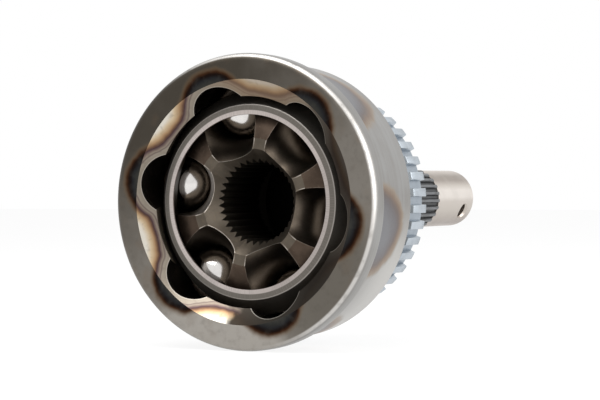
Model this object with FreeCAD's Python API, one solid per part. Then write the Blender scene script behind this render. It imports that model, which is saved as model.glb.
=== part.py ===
"""Fixed ball joint of a front axle half shaft, wheel side, with its stub shaft.

Frame: X runs along the stub shaft, away from the open mouth of the bell. Z is up and Y is the
bending axis. The origin is the joint centre, where the ball plane crosses the shaft axis.
"""
import FreeCAD, Part
import math
import os

# Balls and their tracks
ball_diameter = 17.4625
ball_circle_radius = 30.2
track_pairs = 3
first_track_angle = 41.5
track_offset = 3.5
track_conformity = 1.05
track_clearance = 0.25
bend_limit = 45.0
track_run_out = 2.0

# Cage
cage_wall = 5.2
cage_outset = 0.3
cage_width = 32.0
cage_face_land = 1.65
cage_face_chamfer = 0.3
cage_face_chamfer_rise = 1.75
cage_back_chamfer_angle = 35.0
window_clearance = 0.35
window_length = 22.0
window_corner_radius = 4.0
sphere_clearance = 0.3

# Inner race
inner_race_width = 30.0
inner_race_wall = 8.3
inner_race_face_step = 2.1
inner_race_face_land = 3.2
inner_race_cone_angle = 73.0
bore_spline_teeth = 36
bore_spline_tooth_height = 1.1
bore_spline_tooth_tip = 0.40
bore_spline_notch_bottom = 0.25
bore_countersink_depth = 4.0
bore_back_chamfer = 1.5

# Bell of the outer race
mouth_distance = 20.5
mouth_cone_depth = 3.5
mouth_cone_angle = 55.0
bell_wall = 3.05
bell_taper_angle = 2.75
bell_shoulder_distance = 9.0
bell_shoulder_fillet = 2.5
rim_lip_height = 1.4
rim_length = 6.45
rim_edge_radius = 2.4
rim_back_edge = 0.5
bell_floor_thickness = 7.3
bell_back_chamfer = 1.2

# Toothed ring for the wheel speed sensor
tone_tooth_count = 42
tone_ring_width = 9.4
tone_bore_radius = 31.0
tone_ring_wall = 2.3
tone_tooth_height = 1.7
tone_tooth_share = 0.52
tone_shoulder_height = 1.4
tone_setback = 1.5
tone_seat_clearance = 0.02
tone_edge_chamfer = 0.35

# Stub shaft
neck_radius = 22.0
neck_length = 5.0
neck_fillet = 3.0
neck_edge_chamfer = 0.8
relief_length = 4.5
relief_depth = 0.105
relief_fillet = 1.2
stub_end_radius = 9.96
stub_end_length = 31.6
stub_end_chamfer = 1.4
stub_spline_length = 54.0
stub_spline_teeth = 25
stub_spline_rise = 0.62
stub_spline_tooth_height = 1.05
stub_spline_tooth_tip = 0.95
stub_spline_gap_bottom = 0.85
stub_spline_end_chamfer = 0.5
pin_hole_radius = 2.5
pin_hole_from_tip = 8.2
pin_hole_angle = 118.0

# Sizes that follow from the ones above
ball_count = 2 * track_pairs
ball_radius = ball_diameter / 2
ball_spacing = 360.0 / ball_count
track_radius = math.hypot(ball_circle_radius, track_offset)
track_rest_angle = math.degrees(math.atan2(track_offset, ball_circle_radius))
track_section_radius = ball_radius * track_conformity
outer_track_floor = track_radius + ball_radius + track_clearance
inner_track_floor = track_radius - ball_radius - track_clearance
outer_track_line = outer_track_floor - track_section_radius
inner_track_line = inner_track_floor + track_section_radius
track_end_angle = track_rest_angle + bend_limit / 2 + track_run_out

cage_inner_radius = ball_circle_radius + cage_outset
cage_outer_radius = cage_inner_radius + cage_wall
cage_half_width = cage_width / 2
window_height = ball_diameter + 2 * window_clearance
inner_race_sphere_radius = cage_inner_radius - sphere_clearance
inner_race_half_width = inner_race_width / 2
inner_race_face_radius = inner_track_floor - inner_race_face_step
bore_countersink_radius = inner_race_face_radius - inner_race_face_land
bore_spline_major_radius = inner_track_floor - inner_race_wall
bore_spline_minor_radius = bore_spline_major_radius - bore_spline_tooth_height
bell_cavity_radius = cage_outer_radius + sphere_clearance

mouth_x = -mouth_distance
mouth_cone_end_x = mouth_x + mouth_cone_depth
mouth_cone_end_radius = math.sqrt(bell_cavity_radius ** 2 - mouth_cone_end_x ** 2)
mouth_radius = mouth_cone_end_radius + mouth_cone_depth * math.tan(math.radians(mouth_cone_angle))
rim_back_x = mouth_x + rim_length
taper = math.tan(math.radians(bell_taper_angle))
body_radius_at_centre = outer_track_floor + bell_wall
body_front_radius = body_radius_at_centre - taper * rim_back_x
body_shoulder_radius = body_radius_at_centre - taper * bell_shoulder_distance
rim_radius = body_front_radius + rim_lip_height
cup_floor_x = inner_race_sphere_radius
cup_floor_radius = math.sqrt(bell_cavity_radius ** 2 - cup_floor_x ** 2)
bell_back_x = cup_floor_x + bell_floor_thickness

tone_back_x = bell_back_x - tone_setback
tone_front_x = tone_back_x - tone_ring_width
tone_root_radius = tone_bore_radius + tone_ring_wall
tone_tip_radius = tone_root_radius + tone_tooth_height
tone_seat_radius = tone_bore_radius - tone_seat_clearance

neck_end_x = bell_back_x + neck_length
spline_start_x = neck_end_x + relief_length
spline_end_x = spline_start_x + stub_spline_length
stub_tip_x = spline_end_x + stub_end_length
stub_spline_tip_radius = stub_end_radius + stub_spline_rise
stub_spline_root_radius = stub_spline_tip_radius - stub_spline_tooth_height
relief_radius = stub_spline_root_radius - relief_depth
pin_hole_x = stub_tip_x - pin_hole_from_tip

origin = FreeCAD.Vector(0, 0, 0)
along_shaft = FreeCAD.Vector(1, 0, 0)


def radial(angle):
    """Unit vector across the shaft, clockwise from straight up as seen from the mouth."""
    turn = math.radians(angle)
    return FreeCAD.Vector(0, -math.sin(turn), math.cos(turn))


def point(x, radius, angle=0.0):
    """Point at a distance along the shaft, a radius from it and an angle about it."""
    return along_shaft * x + radial(angle) * radius


def track_angle(number):
    return first_track_angle + number * ball_spacing


def line(start, end):
    return Part.LineSegment(point(*start), point(*end)).toShape()


def arc(start, middle, end):
    return Part.Arc(point(*start), point(*middle), point(*end)).toShape()


def unit(start, end):
    length = math.dist(start, end)
    return ((end[0] - start[0]) / length, (end[1] - start[1]) / length)


def fillet_points(before, corner, after, radius):
    """Start, middle and end of the arc that rounds a corner of a profile."""
    back = unit(corner, before)
    on = unit(corner, after)
    half = math.acos(max(-1.0, min(1.0, back[0] * on[0] + back[1] * on[1]))) / 2
    setback = radius / math.tan(half)
    middle_direction = unit((0, 0), (back[0] + on[0], back[1] + on[1]))
    to_middle = radius / math.sin(half) - radius
    start = (corner[0] + back[0] * setback, corner[1] + back[1] * setback)
    middle = (corner[0] + middle_direction[0] * to_middle, corner[1] + middle_direction[1] * to_middle)
    end = (corner[0] + on[0] * setback, corner[1] + on[1] * setback)
    return start, middle, end


def turned(corners, sphere_arc=None):
    """Solid of revolution about the shaft axis.

    Each corner is (x, radius) or (x, radius, fillet). The sphere arc, when given, replaces the
    straight run from the last corner back to the first.
    """
    edges = []
    count = len(corners)
    here = corners[0][:2]
    for index in range(1, count):
        corner = corners[index]
        if len(corner) == 3:
            start, middle, end = fillet_points(corners[index - 1][:2], corner[:2],
                                               corners[(index + 1) % count][:2], corner[2])
            edges.append(line(here, start))
            edges.append(arc(start, middle, end))
            here = end
        else:
            edges.append(line(here, corner))
            here = corner
    if sphere_arc:
        edges.append(arc(here, sphere_arc, corners[0][:2]))
    else:
        edges.append(line(here, corners[0][:2]))
    profile = Part.Face(Part.Wire(edges))
    return profile.revolve(origin, along_shaft, 360)


def on_sphere(sphere_radius, x):
    """Profile point of a sphere about the joint centre."""
    return (x, math.sqrt(sphere_radius ** 2 - x ** 2))


def cone_meets_sphere(x, radius, angle, sphere_radius):
    """Where a cone that starts at (x, radius) and widens at an angle from the axis meets a sphere."""
    step_x = math.cos(math.radians(angle))
    step_r = math.sin(math.radians(angle))
    half_b = x * step_x + radius * step_r
    length = -half_b + math.sqrt(half_b ** 2 - (x ** 2 + radius ** 2 - sphere_radius ** 2))
    return (x + length * step_x, radius + length * step_r)


def track_cutter(centre_x, line_radius, angle, start, end):
    """Curved tube that cuts two opposite ball tracks of the bell and passes in front of its mouth.

    It lies in the plane through the shaft axis at an angle about it. Its centre line is an arc
    about a point on the axis, from start to end, in degrees from straight out, towards the stub.
    """
    centre = along_shaft * centre_x
    outward = radial(angle)
    turn_axis = outward.cross(along_shaft)
    tilt = FreeCAD.Rotation(turn_axis, start)
    place = centre + tilt.multVec(outward) * line_radius
    section = Part.Circle(place, tilt.multVec(along_shaft), track_section_radius).toShape()
    return Part.Face(Part.Wire(section)).revolve(centre, turn_axis, end - start)


def track_end_ball(centre_x, line_radius, angle, end):
    """Ball-shaped end of a track."""
    outward = radial(angle)
    tilt = FreeCAD.Rotation(outward.cross(along_shaft), end)
    place = along_shaft * centre_x + tilt.multVec(outward) * line_radius
    return Part.makeSphere(track_section_radius, place)


def bell_and_stub():
    """Turned blank of the outer race: bell outside, neck, stub shaft, cup floor and cavity."""
    cavity_middle = (0.0, bell_cavity_radius)
    corners = [
        (mouth_cone_end_x, mouth_cone_end_radius),
        (mouth_x, mouth_radius),
        (mouth_x, rim_radius, rim_edge_radius),
        (rim_back_x, rim_radius, rim_back_edge),
        (rim_back_x, body_front_radius),
        (bell_shoulder_distance, body_shoulder_radius, bell_shoulder_fillet),
        (tone_front_x, tone_seat_radius + tone_shoulder_height),
        (tone_front_x, tone_seat_radius),
        (bell_back_x - bell_back_chamfer, tone_seat_radius),
        (bell_back_x, tone_seat_radius - bell_back_chamfer),
        (bell_back_x, neck_radius, neck_fillet),
        (neck_end_x - neck_edge_chamfer, neck_radius),
        (neck_end_x, neck_radius - neck_edge_chamfer),
        (neck_end_x, relief_radius, relief_fillet),
        (spline_start_x, relief_radius),
        (spline_start_x + stub_spline_tip_radius - relief_radius, stub_spline_tip_radius),
        (spline_end_x - stub_spline_end_chamfer, stub_spline_tip_radius),
        (spline_end_x, stub_end_radius),
        (stub_tip_x - stub_end_chamfer, stub_end_radius),
        (stub_tip_x, stub_end_radius - stub_end_chamfer),
        (stub_tip_x, 0.0),
        (cup_floor_x, 0.0),
        (cup_floor_x, cup_floor_radius),
    ]
    return turned(corners, sphere_arc=cavity_middle)


def stub_spline_gaps():
    """The gaps between the stub shaft's spline teeth, wider at the top than at the root."""
    pitch_length = 2 * math.pi * stub_spline_tip_radius / stub_spline_teeth
    bottom_half = stub_spline_gap_bottom / 2
    flare = ((pitch_length - stub_spline_tooth_tip) / 2 - bottom_half) / stub_spline_tooth_height
    top_radius = stub_spline_tip_radius + stub_spline_tooth_height
    top_half = bottom_half + flare * (top_radius - stub_spline_root_radius)
    length = spline_end_x - neck_end_x - relief_fillet
    gaps = []
    for number in range(stub_spline_teeth):
        angle = number * 360.0 / stub_spline_teeth
        outward = radial(angle)
        sideways = outward.cross(along_shaft)
        base = along_shaft * (neck_end_x + relief_fillet)
        corners = [
            base + outward * stub_spline_root_radius - sideways * bottom_half,
            base + outward * stub_spline_root_radius + sideways * bottom_half,
            base + outward * top_radius + sideways * top_half,
            base + outward * top_radius - sideways * top_half,
        ]
        outline = Part.makePolygon(corners + corners[:1])
        gaps.append(Part.Face(outline).extrude(along_shaft * length))
    return Part.makeCompound(gaps)


def outer_race():
    """Bell and stub shaft, forged in one, with six ball tracks, the spline and the pin hole."""
    body = bell_and_stub()
    far_end_angle = -180.0 - track_end_angle
    for number in range(track_pairs):
        angle = track_angle(number)
        body = body.cut(track_cutter(-track_offset, outer_track_line, angle, far_end_angle, track_end_angle))
    for number in range(ball_count):
        body = body.cut(track_end_ball(-track_offset, outer_track_line, track_angle(number), track_end_angle))
    body = body.cut(stub_spline_gaps())
    hole_direction = radial(pin_hole_angle)
    hole_start = along_shaft * pin_hole_x - hole_direction * 2 * stub_end_radius
    return body.cut(Part.makeCylinder(pin_hole_radius, 4 * stub_end_radius, hole_start, hole_direction))


def tone_ring():
    """Ring with square teeth, pressed onto its seat behind the bell."""
    chamfer = tone_edge_chamfer
    blank = turned([
        (tone_front_x, tone_bore_radius),
        (tone_front_x, tone_tip_radius - chamfer),
        (tone_front_x + chamfer, tone_tip_radius),
        (tone_back_x - chamfer, tone_tip_radius),
        (tone_back_x, tone_tip_radius - chamfer),
        (tone_back_x, tone_bore_radius),
    ])
    pitch = 360.0 / tone_tooth_count
    gap_width = 2 * math.pi * tone_tip_radius / tone_tooth_count * (1 - tone_tooth_share)
    gaps = []
    for number in range(tone_tooth_count):
        outward = radial((number + 0.5) * pitch)
        sideways = outward.cross(along_shaft) * (gap_width / 2)
        base = along_shaft * (tone_front_x - chamfer)
        low = base + outward * tone_root_radius
        high = base + outward * (tone_tip_radius + tone_tooth_height)
        corners = [low - sideways, low + sideways, high + sideways, high - sideways]
        outline = Part.makePolygon(corners + corners[:1])
        gaps.append(Part.Face(outline).extrude(along_shaft * (tone_ring_width + 2 * chamfer)))
    return blank.cut(Part.makeCompound(gaps))


def cage_window(angle):
    """Prism with rounded corners that cuts one window, straight out through the cage."""
    outward = radial(angle)
    sideways = outward.cross(along_shaft)
    start = outward * (cage_inner_radius * 0.6)
    half_height = window_height / 2
    half_length = window_length / 2
    block_corner = start - along_shaft * half_height - sideways * half_length
    block = Part.Face(Part.makePolygon([
        block_corner,
        block_corner + along_shaft * window_height,
        block_corner + along_shaft * window_height + sideways * window_length,
        block_corner + sideways * window_length,
        block_corner,
    ])).extrude(outward * cage_outer_radius)
    upright = []
    for edge in block.Edges:
        lean = edge.tangentAt(edge.FirstParameter).dot(outward)
        if abs(abs(lean) - 1) < 1e-6:
            upright.append(edge)
    return block.makeFillet(min(window_corner_radius, 0.45 * window_height), upright)


def cage():
    """Spherical ring that holds the balls in one plane, with a window for each ball."""
    inner_edge = on_sphere(cage_inner_radius, -cage_half_width)
    land_radius = inner_edge[1] + cage_face_land
    step_x = -cage_half_width + cage_face_chamfer
    step_radius = land_radius + cage_face_chamfer_rise
    front_edge = cone_meets_sphere(step_x, step_radius, cage_back_chamfer_angle, cage_outer_radius)
    edges = [
        line(inner_edge, (-cage_half_width, land_radius)),
        line((-cage_half_width, land_radius), (step_x, step_radius)),
        line((step_x, step_radius), front_edge),
        arc(front_edge, (0.0, cage_outer_radius), (-front_edge[0], front_edge[1])),
        line((-front_edge[0], front_edge[1]), (-step_x, step_radius)),
        line((-step_x, step_radius), (cage_half_width, land_radius)),
        line((cage_half_width, land_radius), (cage_half_width, inner_edge[1])),
        arc((cage_half_width, inner_edge[1]), (0.0, cage_inner_radius), inner_edge),
    ]
    body = Part.Face(Part.Wire(edges)).revolve(origin, along_shaft, 360)
    for number in range(ball_count):
        body = body.cut(cage_window(track_angle(number)))
    return body


def bore_spline_notches():
    """The notches between the inner race's spline teeth, cut outwards from the bore."""
    pitch_length = 2 * math.pi * bore_spline_minor_radius / bore_spline_teeth
    mouth_half = (pitch_length - bore_spline_tooth_tip) / 2
    bottom_half = bore_spline_notch_bottom / 2
    overlap = 0.3 * bore_spline_tooth_height
    flare = (mouth_half - bottom_half) / bore_spline_tooth_height
    notches = []
    for number in range(bore_spline_teeth):
        outward = radial((number + 0.5) * 360.0 / bore_spline_teeth)
        sideways = outward.cross(along_shaft)
        base = along_shaft * (-inner_race_half_width - 1)
        inner_half = mouth_half + flare * overlap
        corners = [
            base + outward * (bore_spline_minor_radius - overlap) - sideways * inner_half,
            base + outward * (bore_spline_minor_radius - overlap) + sideways * inner_half,
            base + outward * bore_spline_major_radius + sideways * bottom_half,
            base + outward * bore_spline_major_radius - sideways * bottom_half,
        ]
        outline = Part.makePolygon(corners + corners[:1])
        notches.append(Part.Face(outline).extrude(along_shaft * (inner_race_width + 2)))
    return notches


def inner_race():
    """Star with six tracks outside and a splined bore for the half shaft."""
    minor_radius = bore_spline_minor_radius
    half = inner_race_half_width
    slope = (bore_countersink_radius - bore_spline_major_radius) / bore_countersink_depth
    countersink_inner_depth = bore_countersink_depth + bore_spline_tooth_height / slope
    back_chamfer_x = half - bore_back_chamfer - bore_spline_tooth_height
    back_chamfer_radius = minor_radius + bore_back_chamfer + bore_spline_tooth_height
    rim = cone_meets_sphere(-half, inner_race_face_radius, inner_race_cone_angle, inner_race_sphere_radius)
    edges = [
        line((-half + countersink_inner_depth, minor_radius), (-half, bore_countersink_radius)),
        line((-half, bore_countersink_radius), (-half, inner_race_face_radius)),
        line((-half, inner_race_face_radius), rim),
        arc(rim, (0.0, inner_race_sphere_radius), (-rim[0], rim[1])),
        line((-rim[0], rim[1]), (half, inner_race_face_radius)),
        line((half, inner_race_face_radius), (half, back_chamfer_radius)),
        line((half, back_chamfer_radius), (back_chamfer_x, minor_radius)),
        line((back_chamfer_x, minor_radius), (-half + countersink_inner_depth, minor_radius)),
    ]
    body = Part.Face(Part.Wire(edges)).revolve(origin, along_shaft, 360)
    for number in range(track_pairs):
        turn_axis = radial(track_angle(number)).cross(along_shaft)
        centre = along_shaft * track_offset
        body = body.cut(Part.makeTorus(inner_track_line, track_section_radius, centre, turn_axis))
    notches = bore_spline_notches()
    for first in range(2):
        body = body.cut(Part.makeCompound(notches[first::2]))
    return body


def ball(number):
    return Part.makeSphere(ball_radius, radial(track_angle(number)) * ball_circle_radius)


def single_solid(shape):
    """The one solid in a cut result."""
    solids = shape.Solids
    if len(solids) != 1:
        raise ValueError("expected one solid, found %d" % len(solids))
    return solids[0]


def main():
    os.makedirs("parts", exist_ok=True)
    pieces = {
        "outer_race": outer_race(),
        "tone_ring": tone_ring(),
        "cage": cage(),
        "inner_race": inner_race(),
    }
    for number in range(ball_count):
        pieces["ball_%d" % (number + 1)] = ball(number)
    for name, shape in pieces.items():
        single_solid(shape).exportStep("parts/%s.step" % name)


main()
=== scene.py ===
"""Fixed ball joint of a front axle half shaft: bell with stub shaft, toothed ring, cage, star and balls.

X runs along the stub shaft, away from the open mouth of the bell. Z is up. The origin is the joint
centre. Lengths inside the functions are millimetres, and angles about the shaft are degrees,
clockwise from straight up as seen from the mouth.
"""
import bpy
import math
from types import SimpleNamespace
from mathutils import Matrix, Vector

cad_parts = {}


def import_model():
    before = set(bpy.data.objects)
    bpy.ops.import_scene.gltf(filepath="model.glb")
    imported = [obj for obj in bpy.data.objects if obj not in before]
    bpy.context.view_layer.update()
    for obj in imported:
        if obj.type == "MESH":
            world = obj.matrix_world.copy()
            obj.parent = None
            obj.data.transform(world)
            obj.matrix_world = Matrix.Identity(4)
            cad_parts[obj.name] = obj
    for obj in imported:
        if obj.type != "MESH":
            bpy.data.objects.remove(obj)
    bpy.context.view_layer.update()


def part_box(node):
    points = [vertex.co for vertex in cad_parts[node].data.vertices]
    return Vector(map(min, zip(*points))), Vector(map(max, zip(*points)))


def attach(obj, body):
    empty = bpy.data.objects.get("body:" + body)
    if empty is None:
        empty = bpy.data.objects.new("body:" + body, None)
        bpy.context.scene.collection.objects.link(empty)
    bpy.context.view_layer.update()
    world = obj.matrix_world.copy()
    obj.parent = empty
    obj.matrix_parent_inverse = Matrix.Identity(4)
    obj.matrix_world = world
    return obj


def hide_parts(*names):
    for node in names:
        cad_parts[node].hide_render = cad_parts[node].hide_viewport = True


bl_info = {
    "name": "Ball joint of a half shaft",
    "version": (1, 0, 0),
    "blender": (4, 5, 0),
    "location": "3D View > Sidebar > Ball joint",
    "description": "Models and finishes the pieces of a fixed ball joint, and lights them",
    "category": "Add Mesh",
}

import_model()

MM = 0.001
TRACKS = 6
TRACK_STEP = 360.0 / TRACKS
SMOOTH_ANGLE = math.radians(32)
DOUBLES = 0.002 * MM
WHITE = (1, 1, 1, 1)
SPLINE_CHAMFER = 0.5  # at the far end of the stub shaft's spline, in millimetres
NEAR = 0.02  # from a place that counts as the same place, in millimetres
ON_TRACK = 0.12  # from a track's surface to a face that belongs to it, in millimetres
# Columns of faces round each tooth
SPLINE_COLUMNS = 12
BORE_COLUMNS = 10
RING_COLUMNS = 8


def length(name, description, millimetres):
    """A size that the sidebar shows in the scene's units."""
    return bpy.props.FloatProperty(name=name, description=description, default=millimetres * MM,
                                   min=0.0, precision=5, unit="LENGTH", subtype="DISTANCE")


def distance(name, place, millimetres):
    """A length along the shaft from the joint centre to a place."""
    return length(name, "From the joint centre to " + place, millimetres)


def bearing(name, description, degrees):
    """An angle that the sidebar shows in degrees."""
    return bpy.props.FloatProperty(name=name, description=description, default=math.radians(degrees),
                                   subtype="ANGLE")


def teeth_round(part, number):
    """The number of teeth round a part."""
    return bpy.props.IntProperty(name=part + " teeth", description="Teeth round the " + part.lower(),
                                 default=number, min=6)


def linear(red, green, blue):
    """Scene colour of a screen colour given in 0 to 255."""
    return tuple((value / 255.0 / 12.92) if value < 11 else ((value / 255.0 + 0.055) / 1.055) ** 2.4
                 for value in (red, green, blue))


def colour(name, description, red, green, blue):
    """A colour that the sidebar shows as a swatch."""
    return bpy.props.FloatVectorProperty(name=name, description=description, size=3, min=0.0, max=1.0,
                                         default=linear(red, green, blue), subtype="COLOR")


def reach(node, axis):
    """Half the width of a node across the shaft, in millimetres."""
    low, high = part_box(node)
    return (high[axis] - low[axis]) / 2 / MM


class TrackSizes(bpy.types.PropertyGroup):
    """Balls and the tracks that they run in."""
    ball_radius: length("Ball radius", "Radius of each ball", reach("ball_1", 2))
    ball_circle: length("Ball circle radius", "From the shaft axis to the ball centres", 30.2)
    offset: distance("Track offset", "the centre of each track's arc", 3.5)
    section: length("Track section radius", "Radius of the track's cross section", 9.168)
    outer_line: length("Bell track radius", "Radius of the centre line of the bell's tracks", 30.2157)
    inner_line: length("Star track radius", "Radius of the centre line of the star's tracks", 30.5886)
    first_angle: bearing("First track", "Angle of the first track about the shaft", 41.5)
    end_angle: bearing("Track end", "How far the bell's tracks run past the ball plane", 31.11)


class BellSizes(bpy.types.PropertyGroup):
    """Bell of the outer race."""
    mouth: distance("Mouth distance", "the bell's face", 20.5)
    mouth_radius: length("Mouth radius", "Inner radius of the bell's face", 36.73)
    cone_depth: length("Mouth cone depth", "Depth of the cone inside the mouth", 3.5)
    cavity: length("Cavity radius", "Radius of the ground sphere inside the bell", 36.0)
    rim_radius: length("Rim radius", "Outer radius of the rim", reach("outer_race", 1))
    rim_length: length("Rim length", "Length of the rim along the shaft", 6.45)
    rim_edge: length("Rim edge radius", "Rounding of the rim's front edge", 2.4)
    body_front: length("Body front radius", "Radius of the bell just behind the rim", 43.11)
    shoulder: distance("Shoulder distance", "the bell's shoulder", 9.0)
    shoulder_radius: length("Shoulder radius", "Radius of the bell at its shoulder", 42.0)
    floor: distance("Cup floor distance", "the floor of the cup", 30.2)
    back: distance("Bell back distance", "the back of the bell", 37.5)


class ShaftSizes(bpy.types.PropertyGroup):
    """Stub shaft behind the bell."""
    neck_radius: length("Neck radius", "Radius of the bearing shoulder", 22.0)
    neck_end: distance("Neck distance", "the bearing shoulder", 42.5)
    relief_radius: length("Relief radius", "Radius between the shoulder and the spline", 9.425)
    spline_start: distance("Spline start", "the start of the spline", 47.0)
    spline_end: distance("Spline end", "the end of the spline", 101.0)
    tip_radius: length("Tooth tip radius", "Radius over the spline teeth", 10.58)
    root_radius: length("Tooth root radius", "Radius at the foot of the spline teeth", 9.53)
    teeth: teeth_round("Spline", 25)
    end_radius: length("Plain end radius", "Radius of the plain end of the stub shaft", 9.96)
    tip: distance("Shaft tip", "the tip of the stub shaft", 132.6)
    hole_radius: length("Pin hole radius", "Radius of the split pin hole", 2.5)
    hole_place: distance("Pin hole distance", "the split pin hole", 124.4)
    hole_angle: bearing("Pin hole angle", "Angle of the pin hole about the shaft", 118.0)


class RingSizes(bpy.types.PropertyGroup):
    """Toothed ring behind the bell."""
    front: distance("Ring front", "the ring's front", 26.6)
    back: distance("Ring back", "the ring's back", 36.0)
    bore: length("Ring bore radius", "Inner radius of the ring", 31.0)
    root: length("Ring root radius", "Radius at the foot of the teeth", 33.3)
    tip: length("Ring tip radius", "Radius over the teeth", 35.0)
    teeth: teeth_round("Ring", 42)


class CageSizes(bpy.types.PropertyGroup):
    """Cage that holds the balls in one plane."""
    inner: length("Cage inner radius", "Radius of the sphere inside the cage", 30.5)
    outer: length("Cage outer radius", "Radius of the sphere outside the cage", 35.7)
    width: length("Cage width", "Width of the cage along the shaft", 32.0)
    land: length("Cage face width", "Width of the ground ring on each end", 1.65)
    window_height: length("Window height", "Window size along the shaft", 18.16)
    window_length: length("Window length", "Window size round the cage", 22.0)
    window_corner: length("Window corner radius", "Rounding of the window corners", 4.0)


class StarSizes(bpy.types.PropertyGroup):
    """Star shaped inner race."""
    sphere: length("Star radius", "Radius of the sphere outside the star", 30.2)
    width: length("Star width", "Width of the star along the shaft", 30.0)
    face: length("Star face radius", "Outer radius of the flat face", 19.32)
    countersink: length("Countersink radius", "Radius of the countersink at the face", 16.12)
    back_chamfer: length("Back chamfer radius", "Radius of the bore's chamfer at the back", 14.62)
    minor: length("Bore radius", "Radius inside the spline teeth of the bore", 12.02)
    major: length("Notch radius", "Radius at the bottom of the spline's notches", 13.12)
    teeth: teeth_round("Bore", 36)


class FinishColours(bpy.types.PropertyGroup):
    """Colours of the metals."""
    # Painted shade: the first face colour is a darker, shaded copy of the second, blended in towards the
    # upper left.
    face_painted_shade: colour("Bell face, top", "Machined face of the bell where its oxide film is thick", 70, 65, 58)
    face: colour("Bell face", "Machined face of the bell where it is bright", 124, 119, 112)
    body: colour("Bell body", "Turned outside of the bell", 152, 151, 149)
    # Used only as the painted highlight along the sharp edges of the tracks in the mouth cone.
    cone: colour("Mouth cone", "Polished cone inside the mouth", 206, 200, 190)
    # A lighter copy of the cavity's colour: painted light on the sphere near the mouth.
    lip_painted_light: colour("Mouth land", "Ground strip inside the mouth cone", 150, 138, 122)
    cavity: colour("Cavity", "Ground sphere inside the bell", 128, 120, 110)
    groove: colour("Bell tracks", "Ground ball tracks of the bell", 118, 111, 103)
    star_groove: colour("Star tracks", "Ground ball tracks of the star", 106, 96, 85)
    spline: colour("Stub spline", "Rolled and oiled spline of the stub shaft", 116, 118, 120)
    plain_end: colour("Plain end", "Turned end of the stub shaft", 196, 189, 181)
    zinc: colour("Zinc plate", "Zinc plate of the toothed ring", 186, 194, 201)
    cage: colour("Cage", "Ground ring on the ends of the cage", 208, 198, 193)
    cage_step: colour("Cage step", "Outer band on the ends of the cage", 104, 100, 94)
    cage_black: colour("Cage sphere", "Hardened sphere of the cage", 88, 82, 77)
    star: colour("Star face", "Machined face of the star", 98, 90, 80)
    star_forged: colour("Star lobes", "Forged lobes of the star", 88, 75, 65)
    bore: colour("Star bore", "Oiled spline of the star's bore", 104, 98, 88)
    chrome: colour("Balls", "Polished ball steel", 225, 222, 219)


# Shapes

def deselect():
    """Leaves object mode on with nothing selected."""
    if bpy.context.object and bpy.context.object.mode != "OBJECT":
        bpy.ops.object.mode_set(mode="OBJECT")
    bpy.ops.object.select_all(action="DESELECT")


def focus(obj):
    """Makes one object the selected and active one."""
    deselect()
    obj.select_set(True)
    bpy.context.view_layer.objects.active = obj


def pick(obj, kind, chosen):
    """Edit mode on an object with only the chosen vertices, edges or faces selected."""
    focus(obj)
    mesh = obj.data
    groups = {"VERT": mesh.vertices, "EDGE": mesh.edges, "FACE": mesh.polygons}
    for items in groups.values():
        items.foreach_set("select", [False] * len(items))
    groups[kind].foreach_set("select", [bool(chosen(item)) for item in groups[kind]])
    bpy.context.tool_settings.mesh_select_mode = [kind == name for name in groups]
    bpy.ops.object.mode_set(mode="EDIT")


def all_faces(obj):
    """Edit mode with everything selected."""
    focus(obj)
    bpy.ops.object.mode_set(mode="EDIT")
    bpy.ops.mesh.select_all(action="SELECT")


def settle(obj):
    """Takes an object's place, turn and scale into its mesh."""
    focus(obj)
    bpy.ops.object.transform_apply(location=True, rotation=True, scale=True)


def tidy(obj):
    """Closes the seams and poles of a turned shape and points its faces outwards."""
    all_faces(obj)
    bpy.ops.mesh.remove_doubles(threshold=DOUBLES)
    bpy.ops.mesh.normals_make_consistent(inside=False)
    bpy.ops.object.mode_set(mode="OBJECT")


def in_mm(*groups):
    """The lengths in property groups, in millimetres."""
    return SimpleNamespace(**{key: getattr(group, key) / MM for group in groups
                              for key in group.__annotations__ if not key.endswith(("teeth", "angle"))})


def arc(tracks, inner):
    """Place along X of the centre of the star's or the bell's tracks, and their radius, in millimetres."""
    if inner:
        return tracks.offset / MM, tracks.inner_line / MM
    return -tracks.offset / MM, tracks.outer_line / MM


def radius_of(place):
    """Distance of a place from the shaft's axis, in millimetres."""
    return math.hypot(place.y, place.z) / MM


def turn_of(place):
    """Angle of a place about the shaft."""
    return math.degrees(math.atan2(-place.y, place.z))


def off_step(angle, step):
    """Angle from the nearest multiple of a step."""
    return angle - step * round(angle / step)


def rounded(corners, steps=4):
    """Profile points, with each corner that has a third value rounded to that radius."""
    points = []
    for index, corner in enumerate(corners):
        here = Vector(corner[:2])
        if len(corner) == 2:
            points.append(here)
            continue
        back = (Vector(corners[index - 1][:2]) - here).normalized()
        on = (Vector(corners[(index + 1) % len(corners)][:2]) - here).normalized()
        half = back.angle(on) / 2
        centre = here + (back + on).normalized() * (corner[2] / math.sin(half))
        first = (here + back * (corner[2] / math.tan(half)) - centre).normalized()
        last = (here + on * (corner[2] / math.tan(half)) - centre).normalized()
        points.extend(centre + first.slerp(last, step / steps) * corner[2] for step in range(steps + 1))
    return points


def sphere_points(radius, start_x, end_x, steps):
    """Profile points on a sphere about the joint centre."""
    first, last = math.acos(start_x / radius), math.acos(end_x / radius)
    angles = [first + (last - first) * step / steps for step in range(steps + 1)]
    return [Vector((radius * math.cos(angle), radius * math.sin(angle))) for angle in angles]


def meets_sphere(x, radius, angle, sphere):
    """Where a cone from (x, radius), widening at an angle from the axis, meets a sphere."""
    step_x, step_r = math.cos(math.radians(angle)), math.sin(math.radians(angle))
    half_b = x * step_x + radius * step_r
    run = -half_b + math.sqrt(half_b ** 2 - (x ** 2 + radius ** 2 - sphere ** 2))
    return (x + run * step_x, radius + run * step_r)


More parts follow.
